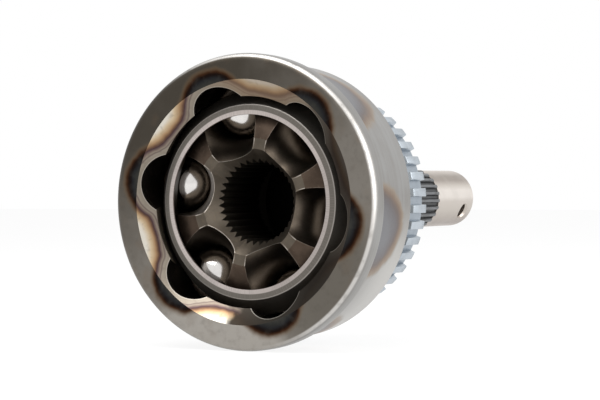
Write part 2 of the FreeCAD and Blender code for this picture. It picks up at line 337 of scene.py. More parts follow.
def turned(name, profile, segments, closed=False):
    """Shape turned about the shaft from profile points of distance and radius."""
    deselect()
    bpy.ops.mesh.primitive_plane_add(size=MM, location=(0, 0, 0))
    obj = bpy.context.object
    obj.name = obj.data.name = name
    bpy.ops.object.mode_set(mode="EDIT")
    bpy.ops.mesh.select_mode(type="VERT")
    bpy.ops.mesh.select_all(action="SELECT")
    bpy.ops.mesh.merge(type="CENTER")
    places = [Vector((x, 0, radius)) * MM for x, radius in profile]
    bpy.ops.transform.translate(value=places[0])
    for start, end in zip(places, places[1:]):
        bpy.ops.mesh.extrude_region_move(TRANSFORM_OT_translate={"value": end - start})
    if closed:
        ends = (0, len(places) - 1)
        bpy.ops.object.mode_set(mode="OBJECT")
        pick(obj, "VERT", lambda vertex: vertex.index in ends)
        bpy.ops.mesh.edge_face_add()
    bpy.ops.mesh.select_all(action="SELECT")
    bpy.ops.mesh.spin(steps=segments, angle=2 * math.pi, center=(0, 0, 0), axis=(1, 0, 0))
    tidy(obj)
    return obj


def move_ring(obj, chosen, place, target):
    """Moves chosen vertices of a ring from one distance and radius to another."""
    pick(obj, "VERT", lambda vertex: chosen(vertex.co))
    bpy.ops.transform.translate(value=((target[0] - place[0]) * MM, 0, 0))
    scale = target[1] / place[1]
    bpy.ops.transform.resize(value=(1, scale, scale), center_override=(0, 0, 0))
    bpy.ops.object.mode_set(mode="OBJECT")


def copies_round(obj, angles):
    """Turned copies of an object about the shaft, each with its own mesh, joined into one."""
    copies = []
    for angle in angles:
        copy = obj.copy()
        copy.data = obj.data.copy()
        bpy.context.collection.objects.link(copy)
        copy.rotation_euler = (math.radians(angle), 0, 0)
        settle(copy)
        copies.append(copy)
    bpy.data.objects.remove(obj)
    focus(copies[0])
    for copy in copies:
        copy.select_set(True)
    bpy.ops.object.join()
    return copies[0]


def cut(obj, cutter):
    """Cuts one object out of another and removes the cutter."""
    focus(obj)
    modifier = obj.modifiers.new("cut", "BOOLEAN")
    modifier.operation = "DIFFERENCE"
    modifier.solver = "EXACT"
    modifier.object = cutter
    bpy.ops.object.modifier_apply(modifier=modifier.name)
    bpy.data.objects.remove(cutter)


def track_angles(tracks):
    """Angles of the tracks about the shaft."""
    first = math.degrees(tracks.first_angle)
    return [first + number * TRACK_STEP for number in range(TRACKS)]


def cut_at_tracks(obj, cutter, tracks):
    """Cuts a shape that lies straight above the shaft out of an object, at every track."""
    cut(obj, copies_round(cutter, track_angles(tracks)))


def track_tube(tracks, inner, start, end):
    """Curved bar that cuts a track of the star or the bell, between two angles of its arc.

    It lies straight above the shaft. The bar for the bell ends in a ball.
    """
    centre_x, line_radius = arc(tracks, inner)
    section = tracks.section / MM
    centre = Vector((centre_x, 0, 0)) * MM

    def on_arc(angle):
        """A point on the arc, and the direction of the arc there."""
        tilt = math.radians(angle)
        point = centre + Vector((math.sin(tilt), 0, math.cos(tilt))) * line_radius * MM
        return point, Vector((math.cos(tilt), 0, -math.sin(tilt)))

    deselect()
    bpy.ops.mesh.primitive_circle_add(vertices=64, radius=section * MM, fill_type="NGON",
                                      location=on_arc(start)[0],
                                      rotation=(0, math.pi / 2 + math.radians(start), 0))
    obj = bpy.context.object
    bpy.ops.object.transform_apply(location=True, rotation=True, scale=True)
    all_faces(obj)
    bpy.ops.mesh.spin(steps=round((end - start) / 2), angle=math.radians(end - start),
                      center=centre, axis=(0, -1, 0))
    if not inner:
        middle, along = on_arc(end)
        rings = 10
        for ring in range(rings):
            now, then = (math.pi / 2 * (ring + step) / rings for step in (0, 1))
            step = along * (math.sin(then) - math.sin(now)) * section * MM
            scale = max(math.cos(then), 0.02) / max(math.cos(now), 0.02)
            bpy.ops.mesh.extrude_region_move(TRANSFORM_OT_translate={"value": step})
            place = middle + along * math.sin(then) * section * MM
            bpy.ops.transform.resize(value=(scale, scale, scale), center_override=place)
    bpy.ops.mesh.select_all(action="DESELECT")
    bpy.ops.mesh.select_non_manifold()
    bpy.ops.mesh.edge_face_add()
    tidy(obj)
    return obj


def off_track(place, tracks, inner):
    """Distance of a place from the surface of the nearest track, in millimetres."""
    centre_x, line_radius = arc(tracks, inner)
    turn = math.radians(off_step(turn_of(place) - math.degrees(tracks.first_angle), TRACK_STEP))
    radius = radius_of(place)
    along = math.hypot(place.x / MM - centre_x, radius * math.cos(turn)) - line_radius
    return math.hypot(along, radius * math.sin(turn)) - tracks.section / MM


def round_edges(obj, chosen, width, segments=2):
    """Rounds the chosen edges."""
    pick(obj, "EDGE", chosen)
    bpy.ops.mesh.bevel(offset=width * MM, segments=segments, affect="EDGES", clamp_overlap=False)
    bpy.ops.object.mode_set(mode="OBJECT")


def before(x):
    """A test for faces in front of a distance along the shaft, in millimetres."""
    return lambda place, normal: place.x / MM < x


def dress(obj, rest, *zones):
    """Gives each face the first finish whose test its middle and normal pass, or else the rest's finish."""
    obj.data.materials.clear()
    for finish in [finish for finish, _ in zones] + [rest]:
        obj.data.materials.append(finish)
    for face in obj.data.polygons:
        passed = (index for index, (_, test) in enumerate(zones) if test(face.center, face.normal))
        face.material_index = next(passed, len(zones))


def hand_over(obj, body, node=None):
    """Smooths a piece, hangs it on its body's empty and hides the part of the model that it replaces."""
    focus(obj)
    bpy.ops.object.shade_smooth_by_angle(angle=SMOOTH_ANGLE)
    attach(obj, body)
    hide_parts(node or body)


# Finishes

class Value:
    """A node socket. An expression on it adds Math nodes to its tree."""

    def __init__(self, nodes, socket):
        self.nodes = nodes
        self.socket = socket

    def math(self, operation, *others):
        return self.nodes.add("ShaderNodeMath", {"operation": operation}, dict(enumerate((self,) + others)))

    def __add__(self, other):
        return self.math("ADD", other)

    def __sub__(self, other):
        return self.math("SUBTRACT", other)

    def __rsub__(self, other):
        return self.nodes.add("ShaderNodeMath", {"operation": "SUBTRACT"}, {0: other, 1: self})

    def __mul__(self, other):
        return self.math("MULTIPLY", other)

    def __truediv__(self, other):
        return self.math("DIVIDE", other)

    def __pow__(self, other):
        return self.math("POWER", other)

    __radd__ = __add__
    __rmul__ = __mul__

    def between(self, low, high):
        """Rises smoothly from 0 at the low value to 1 at the high one."""
        return self.nodes.add("ShaderNodeMapRange", {"interpolation_type": "SMOOTHSTEP"},
                              {"Value": self, "From Min": low, "From Max": high})


class Nodes:
    """A node tree and its output."""

    def __init__(self, tree, output):
        self.tree = tree
        tree.nodes.clear()
        self.surface = tree.nodes.new(output).inputs["Surface"]

    def feed(self, socket, value):
        """Links a value to a socket, or sets a number or colour on it."""
        if isinstance(value, Value):
            self.tree.links.new(value.socket, socket)
        else:
            socket.default_value = value

    def add(self, kind, settings, inputs, output=0):
        """Adds a node with its settings and the values or links of its sockets."""
        node = self.tree.nodes.new(kind)
        for key, value in settings.items():
            if key == "stops":
                self.set_stops(node.color_ramp.elements, value)
            else:
                setattr(node, key, value)
        for key, value in inputs.items():
            self.feed(node.inputs[key], value)
        return Value(self, node.outputs[output])

    def set_stops(self, elements, stops):
        """Sets the places and colours of a ramp."""
        while len(elements) < len(stops):
            elements.new(1.0)
        for element, (place, shade) in zip(elements, stops):
            element.position = place
            element.color = opaque(shade)

    def rays(self, first, *others):
        """1 for a ray of one of the named kinds and 0 for any other."""
        seen = self.add("ShaderNodeLightPath", {}, {}, first)
        return seen.math("MAXIMUM", self.rays(*others)) if others else seen

    def blend(self, factor, first, second):
        """Sends a mix of two shaders to the output."""
        self.feed(self.surface, self.add("ShaderNodeMixShader", {}, {0: factor, 1: first, 2: second}))


class Finish(Nodes):
    """A metal finish: its material, its shader and the coordinates that its patterns read."""

    def __init__(self, name, metallic=1.0):
        self.material = bpy.data.materials.new(name)
        self.material.use_nodes = True
        super().__init__(self.material.node_tree, "ShaderNodeOutputMaterial")
        self.steel = self.add("ShaderNodeBsdfPrincipled", {}, {"Metallic": metallic})
        self.feed(self.surface, self.steel)
        place = self.add("ShaderNodeTexCoord", {}, {}, "Object")
        self.place = self.add("ShaderNodeVectorMath", {"operation": "SCALE"}, {0: place, "Scale": 1 / MM})
        split = self.add("ShaderNodeSeparateXYZ", {}, {0: self.place}).socket.node
        self.x, self.y, self.z = (Value(self, socket) for socket in split.outputs)
        self.radius = (self.y * self.y + self.z * self.z) ** 0.5
        self.turn = (self.y * -1.0).math("ARCTAN2", self.z) * (180 / math.pi)

    def noise(self, size, detail=2.0, stretch=(1, 1, 1), rough=0.5):
        """Even noise from 0 to 1, with spots of about a size."""
        place = self.add("ShaderNodeVectorMath", {"operation": "MULTIPLY"}, {0: self.place, 1: stretch})
        return self.add("ShaderNodeTexNoise", {},
                        {"Vector": place, "Scale": 1 / size, "Detail": detail, "Roughness": rough})

    def lines(self, value, size, detail=2.0):
        """Noise along one coordinate, which draws fine lines across it."""
        return self.add("ShaderNodeTexNoise", {"noise_dimensions": "1D"},
                        {"W": value, "Scale": 1 / size, "Detail": detail})

    def off_track(self, tracks):
        """Degrees from the middle of the nearest track, from -30 to 30."""
        phase = (self.turn - (math.degrees(tracks.first_angle) - TRACK_STEP / 2)) / TRACK_STEP
        return (phase.math("FRACT") - 0.5) * TRACK_STEP

    def off_surface(self, tracks, inner):
        """Distance in millimetres from the surface of the nearest track."""
        centre_x, line_radius = arc(tracks, inner)
        turn = self.off_track(tracks) * (math.pi / 180)
        up = self.radius * turn.math("COSINE")
        along = ((self.x - centre_x) ** 2 + up ** 2) ** 0.5 - line_radius
        return (along ** 2 + (self.radius * turn.math("SINE")) ** 2) ** 0.5 - tracks.section / MM

    def track_edge_highlight(self, tracks, inner, width):
        """Mask for a painted highlight: 1 at the sharp edge of a track, down to 0 at a width from it."""
        return 1 - self.off_surface(tracks, inner).between(width * 0.4, width)

    def towards(self, angle):
        """Cosine of the angle about the shaft between each point and a direction."""
        turn = math.radians(angle)
        return (self.z * math.cos(turn) - self.y * math.sin(turn)) / self.radius

    def tint(self, distance, *stops):
        """Screen colours along a distance in millimetres, each stop as (distance, red, green, blue)."""
        low, high = stops[0][0], stops[-1][0]
        places = [((place - low) / (high - low), linear(*shade)) for place, *shade in stops]
        return self.add("ShaderNodeValToRGB", {"stops": places}, {0: (distance - low) / (high - low)})

    def mix(self, factor, first, second):
        """Colour that goes from the first to the second as the factor goes from 0 to 1."""
        return self.add("ShaderNodeMix", {"data_type": "RGBA"},
                        {0: factor, 6: opaque(first), 7: opaque(second)}, 2)

    def clouded(self, cloud, shade, share):
        """A colour with clouds of a share of its brightness."""
        return self.mix(cloud.between(0.3, 0.7), dimmed(shade, share), shade)

    def layered(self, base, *layers):
        """A colour with screen colours laid over it, each layer as (share, red, green, blue)."""
        for share, *shade in layers:
            base = self.mix(share, base, linear(*shade))
        return base

    def done(self, shade, roughness, relief=None, depth=0.0):
        """The material, with its colour, its roughness and a relief of a depth in millimetres."""
        inputs = self.steel.socket.node.inputs
        self.feed(inputs["Base Color"], opaque(shade))
        self.feed(inputs["Roughness"], roughness)
        if relief:
            bump = self.add("ShaderNodeBump", {}, {"Distance": depth * MM, "Height": relief})
            self.feed(inputs["Normal"], bump)
        return self.material


def opaque(shade):
    """A colour as its socket takes it, or a link as it is."""
    return shade if isinstance(shade, Value) else tuple(shade) + (1.0,)


def dimmed(shade, share):
    """A share of a colour's brightness."""
    return tuple(min(1.0, channel * share) for channel in shade)


def heat_line(finish, tracks):
    """Distance outside the heat line, which runs round the mouth cone and keeps off the tracks' edges."""
    wander = (finish.noise(6, 2) - 0.5) * 1.3 + (finish.noise(1.6, 2) - 0.5) * 0.12
    off_edges = finish.off_surface(tracks, False) - (finish.radius * 0.25 - 6.0)
    return off_edges.math("SMOOTH_MIN", finish.radius - 32.9, 6.0) + wander


def face_tone_and_painted_shade(finish, colours):
    """Colour of the bell's front with painted shade: dark at the upper left, light towards the bottom, random
    spots and brown clouds.
    """
    cloud = finish.noise(13, 3) - 0.5
    down = finish.towards(150) + cloud * 0.8
    return finish.layered(
        finish.mix(down.between(-0.95, 0.35), colours.face_painted_shade, colours.face),
        # Painted shade darker towards 128 degrees, then painted light towards the bottom at 188 degrees.
        (finish.towards(128).between(0.8, 0.98) * 0.6, 88, 83, 75),
        ((finish.towards(188) + cloud * 0.2).between(0.84, 0.98) * 0.9, 164, 159, 152),
        (finish.noise(2.2, 4).between(0.45, 0.8) * 0.2, 62, 57, 51),
        (finish.noise(8, 2).between(0.5, 0.75) * 0.25, 104, 86, 68))


def face_finish(colours, tracks):
    """Ground face of the bell, with a scorched hump over each track."""
    finish = Finish("bell_face")
    spots = finish.noise(2.2, 4)
    rings = finish.lines(finish.radius, 0.22)
    outside = heat_line(finish, tracks)
    scorched = finish.layered(
        finish.tint(outside, (-3.0, 62, 60, 55), (-1.6, 48, 48, 46), (-0.9, 36, 36, 38), (-0.4, 26, 21, 20),
                    (0.0, 29, 18, 14), (0.5, 62, 40, 25), (1.1, 98, 78, 58), (2.0, 112, 100, 84)),
        ((spots * 0.6 + finish.noise(4, 3) * 0.4).between(0.45, 0.7) * 0.16, 88, 86, 80))
    return finish.done(finish.mix(outside.between(0.3, 1.9), scorched, face_tone_and_painted_shade(finish, colours)),
                       0.32 + spots * 0.14 + rings * 0.06, rings * 0.6 + spots * 0.4, 0.012)


def cone_finish(colours, tracks):
    """Polished cone in the mouth: straw outside the heat line, grey inside it, painted shade on the right,
    painted edge highlights.
    """
    finish = Finish("mouth_cone")
    cloud = finish.noise(7, 3)
    outside = heat_line(finish, tracks)
    shade = finish.layered(
        finish.tint(outside, (-3.0, 128, 120, 109), (-1.5, 140, 131, 119), (-1.2, 104, 92, 87),
                    (-0.9, 134, 123, 110), (-0.45, 104, 88, 84), (-0.1, 70, 54, 56), (0.3, 104, 78, 62),
                    (0.9, 160, 130, 98), (1.8, 196, 176, 146), (2.8, 212, 206, 194)),
        (finish.noise(1.6, 3).between(0.5, 0.8) * 0.3, 96, 86, 76))
    # Painted shade: darker copies of the cone's colours, laid on the right side and darkest towards the
    # bottom.
    low = finish.towards(162).between(0.5, 0.9)
    right_painted_shade = finish.mix(outside.between(-2.5, 1.0), linear(80, 74, 67), linear(58, 46, 37))
    right_painted_shade = finish.layered(right_painted_shade, (low * 0.8, 38, 35, 31))
    right = (finish.towards(114) + (cloud - 0.5) * 0.3).between(0.2, 0.32)
    shade = finish.mix(right * (low * 0.06 + 0.93), shade, right_painted_shade)
    # Browner towards the top.
    shade = finish.layered(shade, (finish.towards(12).between(0.8, 0.98) * 0.55, 128, 106, 84))
    # Painted highlight: a thin bright line along the sharp edges of the tracks.
    edge = finish.track_edge_highlight(tracks, False, 0.3)
    return finish.done(finish.mix(edge * 0.3, shade, colours.cone), 0.26 + cloud * 0.14,
                       finish.lines(finish.radius, 0.3), 0.008)


def body_finish(colours, tracks):
    """Turned outside of the bell: faint temper colours over each track behind the rim, painted light, a
    painted rim highlight.
    """
    finish = Finish("bell_body")
    streak = finish.lines(finish.x, 0.35)
    grain = finish.noise(0.5, 3)
    base = finish.layered(
        finish.mix(finish.noise(16, 3).between(0.3, 0.75), linear(138, 135, 131), colours.body),
        (finish.lines(finish.x, 2.4, 1).between(0.35, 0.7) * 0.4, 160, 160, 160),
        # Painted light: lighter towards the lower right and towards the back.
        (finish.towards(150).between(0.45, 0.95) * finish.x.between(-22, 6), 194, 192, 188))
    # Painted highlight on the rim's rounded front edge, broken up by noise, laid over the face's colour with
    # its painted shade.
    highlight_breaks = finish.noise(4, 4).between(0.3, 0.5) * 0.35 + 0.65
    bright = finish.towards(66).between(-0.35, 0.25) * finish.x.between(-20.25, -19.95) * highlight_breaks
    front = finish.layered(face_tone_and_painted_shade(finish, colours), (bright, 198, 195, 191))
    base = finish.mix(finish.x.between(-19.5, -18.9), front, base)
    behind = finish.x + 14.0
    wander = (finish.noise(9, 4) - 0.5) * 7.0
    inside = 19.0 - ((finish.off_track(tracks) * 0.95) ** 2 + behind ** 2) ** 0.5 + wander
    patch = finish.tint(inside, (-1.5, 150, 147, 142), (1.0, 148, 132, 114), (3.2, 124, 100, 80),
                        (5.0, 98, 84, 78), (7.0, 98, 93, 96), (11.0, 112, 112, 116))
    on_body = behind.between(-0.4, 0.2) * (1 - finish.x.between(7, 11)) * inside.between(-1.5, 1.5)
    return finish.done(finish.mix(on_body * 0.9, base, patch), 0.3 + streak * 0.12 + grain * 0.05,
                       streak * 0.7 + grain * 0.3, 0.01)


def ground_finish(name, shade, low, high, roughness):
    """Ground steel with faint clouds and fine marks round the shaft."""
    finish = Finish(name)
    marks = finish.lines(finish.radius + finish.x * 0.7, 0.3)
    tone = finish.noise(9, 3) * 0.7 + finish.noise(0.6, 3) * 0.3
    return finish.done(finish.mix(tone.between(0.3, 0.7), dimmed(shade, low), dimmed(shade, high)),
                       roughness + marks * 0.12, marks, 0.008)


def star_face_finish(colours, tracks):
    """Turned face and countersink of the star, with a painted highlight along the sharp edges of the tracks.
    """
    finish = Finish("star_face")
    fine = finish.noise(0.8, 4)
    # Painted highlight along the tracks' sharp edges, broken up by fine noise.
    edge = finish.track_edge_highlight(tracks, True, 0.28) * fine.between(0.2, 0.5)
    base = finish.layered(finish.clouded(finish.noise(5, 3), colours.star, 0.75),
                          (fine.between(0.5, 0.8) * 0.3, 122, 108, 90), (edge * 0.9, 196, 188, 178))
    return finish.done(base, 0.36 + fine * 0.14, finish.lines(finish.radius, 0.25) * 0.6 + fine * 0.4, 0.012)


def bore_finish(colours):
    """Spline of the star's bore: oiled steel in front, with painted shade that turns it near black farther
    in.
    """
    finish = Finish("star_bore")
    # Painted shade: near black farther into the bore.
    return finish.done(finish.layered(colours.bore, (finish.x.between(-14, 13), 14, 13, 11)),
                       0.42 + finish.noise(3, 3) * 0.16, finish.noise(1.2, 3, stretch=(0.15, 1, 1)), 0.02)


def forged_finish(colours, tracks):
    """Forged skin of the star's lobes: uneven, brown and matt, with a painted highlight along the track
    edges.
    """
    finish = Finish("star_forged")
    cloud = finish.noise(5, 4)
    pits = finish.noise(0.9, 5, rough=0.65)
    # Painted highlight along the tracks' edges, broken up by the pits.
    edge = finish.track_edge_highlight(tracks, True, 0.24) * pits.between(0.3, 0.6)
    base = finish.layered(finish.clouded(cloud, colours.star_forged, 0.62),
                          (pits.between(0.55, 0.8) * 0.4, 128, 112, 96), (edge * 0.4, 150, 140, 128))
    return finish.done(base, 0.42 + pits * 0.2, pits * 0.7 + cloud * 0.3, 0.05)


def spline_finish(colours):
    """Rolled spline of the stub shaft: darker in the gaps and lighter streaks on the tips."""
    finish = Finish("stub_spline")
    streak = finish.noise(0.9, 3, stretch=(0.12, 1, 1))
    cloud = finish.noise(5, 3)
    tips = finish.radius.between(9.7, 10.6)
    base = finish.layered(finish.mix(tips, dimmed(colours.spline, 0.45), colours.spline),
                          (streak.between(0.52, 0.75) * tips * 0.6, 150, 152, 156),
                          (cloud.between(0.5, 0.8) * 0.4, 70, 66, 60))
    return finish.done(base, 0.38 + cloud * 0.14, streak, 0.02)


def end_finish(colours):
    """Satin turned end of the stub shaft, with painted light and shade in bands along it and fine rings round
    it.
    """
    finish = Finish("plain_end")
    feed = finish.lines(finish.x, 0.28)
    # Painted light and shade: a ramp over the height gives a bright band just above the middle and darker
    # bands above and below.
    height = finish.z / finish.radius + (feed - 0.5) * 0.1
    base = finish.tint(height, (-1.0, 172, 160, 151), (-0.88, 148, 136, 128), (-0.66, 170, 160, 151),
                       (-0.42, 191, 183, 174), (-0.1, 203, 195, 187), (0.05, 228, 221, 214),
                       (0.3, 229, 222, 215), (0.46, 204, 196, 187), (0.64, 158, 147, 138),
                       (0.8, 152, 141, 131), (0.96, 196, 186, 177))
    base = finish.mix(finish.noise(6, 3).between(0.35, 0.75) * 0.3, base, colours.plain_end)
    base = finish.mix(finish.x.between(130.8, 131.4), base, colours.plain_end)
    return finish.done(base, 0.3 + feed * 0.12, feed, 0.012)


def zinc_finish(colours):
    """Bright zinc plate with a fine crystalline mottle, darker in the gaps between the teeth."""
    finish = Finish("zinc_plate")
    crystals = finish.noise(0.7, 4)
    base = finish.layered(finish.clouded(finish.noise(4, 3), colours.zinc, 0.84),
                          (crystals.between(0.55, 0.8) * 0.3, 170, 184, 200),
                          ((1 - finish.radius.between(33.25, 33.7)) * 0.6, 132, 142, 152))
    return finish.done(base, 0.3 + crystals * 0.14, crystals, 0.012)


def cage_finish(colours, land_radius, step_radius):
    """Ground ends of the cage: a bright ring, a duller band outside it, stains with painted shade, a painted
    outer edge highlight.
    """
    finish = Finish("cage_ground")
    grain = finish.lines(finish.turn, 0.55, 3)
    cloud = finish.noise(7, 3)
    # Random stains, and painted shade that darkens the end towards the lower right.
    stain_and_painted_shade = cloud.between(0.4, 0.6) * 0.5 + finish.towards(120).between(0.3, 0.9) * 0.5
    base = finish.mix(finish.radius.between(land_radius - 0.15, land_radius + 0.1),
                      finish.clouded(cloud, colours.cage, 0.72), colours.cage_step)
    base = finish.layered(base, (stain_and_painted_shade * 0.4, 104, 98, 92),
                          # Painted highlight along the outer edge of the end.
                          (finish.radius.between(step_radius - 0.4, step_radius - 0.15) * 0.4, 196, 190, 184),
                          (grain.between(0.45, 0.7) * 0.4, 134, 126, 120))
    return finish.done(base, 0.3 + grain * 0.14, grain, 0.012)


def ball_finish(colours):
    """Lapped ball steel."""
    finish = Finish("ball_steel")
    film = finish.noise(5, 3)
    base = finish.mix(film.between(0.35, 0.7), dimmed(colours.chrome, 0.9), colours.chrome)
    return finish.done(base, 0.1 + film * 0.1)


# Pieces

class BellPiece(bpy.types.Operator):
    """Bell and stub shaft, turned in one, with six ball tracks, the spline and the pin hole"""
    bl_idname = "ball_joint.bell"
    bl_label = "Bell and stub shaft"

    def execute(self, context):
        part = context.scene.ball_joint
        shaft, tracks, colours = part.shaft, part.tracks, part.colours
        mm = in_mm(part.bell, shaft)
        cone_end = -mm.mouth + mm.cone_depth
        rim_back = -mm.mouth + mm.rim_length
        spline_tip = mm.spline_start + mm.tip_radius - mm.relief_radius
        seat_front, seat_radius, seat_shoulder = 26.6, 30.98, 32.38
        back_chamfer, neck_chamfer, end_chamfer = 1.2, 0.8, 1.4
        bar_start = -48.0
        tracks_end, land_end, floor_start = 26.0, -11.0, 8.0
        tracks_outside, body_inside = 39.6, 41.0
        # Depth, radius and rounding at each corner
        centre_hole = ((0.0, 3.1, 0.15), (0.6, 2.6), (4.2, 0.6), (5.4, 0.6), (5.6, 0.0))
        profile = [Vector((mm.floor, 0.0))]
        profile += sphere_points(mm.cavity, mm.floor, cone_end + 0.15, 30)
        profile += rounded([
            (cone_end, math.sqrt(mm.cavity ** 2 - cone_end ** 2)),
            (-mm.mouth, mm.mouth_radius, 0.25),
            (-mm.mouth, mm.rim_radius, mm.rim_edge),
            (rim_back, mm.rim_radius, 0.5),
            (rim_back, mm.body_front, 0.25),
            (mm.shoulder, mm.shoulder_radius, 0.9),
            (seat_front, seat_shoulder, 0.3),
            (seat_front, seat_radius),
            (mm.back - back_chamfer, seat_radius, 0.3),
            (mm.back, seat_radius - back_chamfer, 0.3),
            (mm.back, mm.neck_radius, 3.0),
            (mm.neck_end - neck_chamfer, mm.neck_radius, 0.2),
            (mm.neck_end, mm.neck_radius - neck_chamfer, 0.2),
            (mm.neck_end, mm.relief_radius, 1.2),
            (mm.spline_start, mm.relief_radius),
            (spline_tip, mm.tip_radius),
            (mm.spline_end - SPLINE_CHAMFER, mm.tip_radius),
            (mm.spline_end, mm.end_radius),
            (mm.tip - end_chamfer, mm.end_radius, 0.25),
            (mm.tip, mm.end_radius - end_chamfer, 0.25),
            *((mm.tip - depth, *corner) for depth, *corner in centre_hole),
        ], 5)
        obj = turned("bell_and_stub", profile, SPLINE_COLUMNS * shaft.teeth)
        self.cut_spline(obj, mm, shaft.teeth, spline_tip)
        cut_at_tracks(obj, track_tube(tracks, False, bar_start, math.degrees(tracks.end_angle)), tracks)
        self.cut_pin_hole(obj, mm, shaft.hole_angle)

        def in_track(place, normal):
            near = abs(off_track(place, tracks, False)) < ON_TRACK
            return near and radius_of(place) < tracks_outside and place.x / MM < tracks_end

        def on_sphere(place, normal):
            return place.x / MM < mm.floor + 0.1 and abs(place.length / MM - mm.cavity) < 0.5

        def on_floor(place, normal):
            return floor_start < place.x / MM < mm.floor + 0.2 and place.length / MM < mm.cavity + 0.5

        dress(
            obj, end_finish(colours),
            (ground_finish("bell_track", colours.groove, 0.7, 1.1, 0.24), in_track),
            (face_finish(colours, tracks), before(0.05 - mm.mouth)),
            (body_finish(colours, tracks), lambda place, normal: radius_of(place) > body_inside),
            (cone_finish(colours, tracks), before(cone_end + 0.05)),
            # Painted light: the sphere near the mouth gets a lighter colour than deeper in.
            (ground_finish("mouth_land", colours.lip_painted_light, 0.8, 1.1, 0.55),
             lambda place, normal: on_sphere(place, normal) and place.x / MM < land_end),
            # Painted shade: the floor of the cup is near black.
            (ground_finish("cup_floor", linear(30, 27, 24), 0.7, 1.1, 0.5), on_floor),
            (ground_finish("cavity_sphere", colours.cavity, 0.75, 1.1, 0.3), on_sphere),
            (ground_finish("bell_back", colours.body, 0.8, 1.0, 0.34), before(mm.neck_end + 0.1)),
            (spline_finish(colours), before(mm.spline_end - 0.05)))
        hand_over(obj, "outer_race")
        return {"FINISHED"}

    def cut_spline(self, obj, mm, teeth, start):
        """Presses the gaps between the spline teeth down to their root."""
        step = 360.0 / teeth / SPLINE_COLUMNS
        end = mm.spline_end - SPLINE_CHAMFER
        middle = (mm.tip_radius + mm.root_radius) / 2
        end_slope = SPLINE_CHAMFER / (mm.tip_radius - mm.end_radius)
        for low, high, radius in ((0, 2.5, mm.root_radius), (2.5, 3.5, middle)):
            def in_gap(place, x):
                off = abs(off_step(turn_of(place), SPLINE_COLUMNS * step)) / step
                return abs(place.x / MM - x) < NEAR and low <= off < high
            drop = mm.tip_radius - radius
            move_ring(obj, lambda place: in_gap(place, start), (start, mm.tip_radius), (start - drop, radius))
            move_ring(obj, lambda place: in_gap(place, end), (end, mm.tip_radius),
                      (end + min(SPLINE_CHAMFER, drop * end_slope), radius))

    def cut_pin_hole(self, obj, mm, angle):
        """Drills the split pin hole, with a small countersink at both ends."""
        half = [(9.1, mm.hole_radius), (9.5, 2.9), (14.0, 6.9), (14.0, 0.0)]
        drill = turned("pin_drill", rounded([(-x, radius) for x, radius in reversed(half)] + half), 64)
        drill.rotation_euler = (0, -math.pi / 2, 0)
        settle(drill)
        drill.rotation_euler = (angle, 0, 0)
        drill.location = (mm.hole_place * MM, 0, 0)
        settle(drill)
        cut(obj, drill)


class SensorRingPiece(bpy.types.Operator):
    """Toothed ring for the wheel speed sensor, pressed on behind the bell"""
    bl_idname = "ball_joint.sensor_ring"
    bl_label = "Toothed ring"

    def execute(self, context):
        part = context.scene.ball_joint
        mm = in_mm(part.ring)
        profile = rounded([(mm.front, mm.bore, 0.2), (mm.front, mm.root), (mm.back, mm.root),
                           (mm.back, mm.bore, 0.2)], 2)
        obj = turned("sensor_ring", profile, RING_COLUMNS * part.ring.teeth, closed=True)
        pitch = 360.0 / part.ring.teeth

        def tooth_foot(face):
            outward = abs(radius_of(face.center) - mm.root) < 0.2 and abs(face.normal.x) < 0.1
            return outward and abs(off_step(turn_of(face.center), pitch)) < pitch / 4

        pick(obj, "FACE", tooth_foot)
        bpy.ops.mesh.extrude_region_move(TRANSFORM_OT_translate={"value": (0, 0, 0)})
        rise = mm.tip / mm.root
        bpy.ops.transform.resize(value=(1, rise, rise), center_override=(0, 0, 0))
        bpy.ops.object.mode_set(mode="OBJECT")
        tops, walls = set(), set()
        for face in obj.data.polygons:
            (tops if radius_of(face.center) > mm.tip - 0.15 else walls).update(face.edge_keys)
        rims = tops & walls
        round_edges(obj, lambda edge: edge.key in rims, 0.3)
        dress(obj, zinc_finish(part.colours))
        hand_over(obj, "outer_race", "tone_ring")
        return {"FINISHED"}


class CagePiece(bpy.types.Operator):
    """Cage with a window for each ball"""
    bl_idname = "ball_joint.cage"
    bl_label = "Cage"

    def execute(self, context):
        part = context.scene.ball_joint
        cage, colours = part.cage, part.colours
        mm = in_mm(cage)
        half = mm.width / 2
        inner_edge = math.sqrt(mm.inner ** 2 - half ** 2)
        land = inner_edge + mm.land
        step_depth, step_width, chamfer_angle = 0.3, 1.75, 35.0
        step = (-half + step_depth, land + step_width)
        corner = meets_sphere(*step, chamfer_angle, mm.outer)
        profile = rounded([(-half, inner_edge, 0.2), (-half, land, 0.3), step + (0.4,), corner + (0.3,),
                           (corner[0] + 0.6, math.sqrt(mm.outer ** 2 - (corner[0] + 0.6) ** 2))], 3)
        steps = 24
        profile += sphere_points(mm.outer, corner[0] + 1.2, -corner[0] - 1.2, steps)
        profile += [Vector((-x, radius)) for x, radius in reversed(profile[:-steps - 1])]
        profile += sphere_points(mm.inner, half - 0.5, -half + 0.5, steps)
        obj = turned("cage_ring", profile, 240, closed=True)
        deselect()
        bpy.ops.mesh.primitive_cube_add(size=1, location=(0, 0, 0.033),
                                        scale=(cage.window_height, cage.window_length, 0.03))
        window = context.object
        settle(window)
        round_edges(window, lambda edge: self.upright(window, edge), mm.window_corner, 8)
        cut_at_tracks(obj, window, part.tracks)

        def on_end(place, normal):
            outside = radius_of(place) > inner_edge and place.length / MM > mm.inner + 0.05
            return outside and abs(place.x / MM) > half - 0.5

        def on_chamfer(place, normal):
            return abs(place.x / MM) > abs(corner[0]) - 0.2 and place.length / MM > mm.inner + 0.2

        dress(obj, ground_finish("cage_sphere", colours.cage_black, 0.7, 1.1, 0.36),
              (cage_finish(colours, land, step[1]), on_end),
              (ground_finish("cage_chamfer", colours.cage_step, 0.6, 0.9, 0.5), on_chamfer))
        hand_over(obj, "cage")
        return {"FINISHED"}

    def upright(self, window, edge):
        """Whether an edge of the window's block runs away from the shaft."""
        first, second = (window.data.vertices[index].co for index in edge.vertices)
        return abs(first.z - second.z) > 0.02


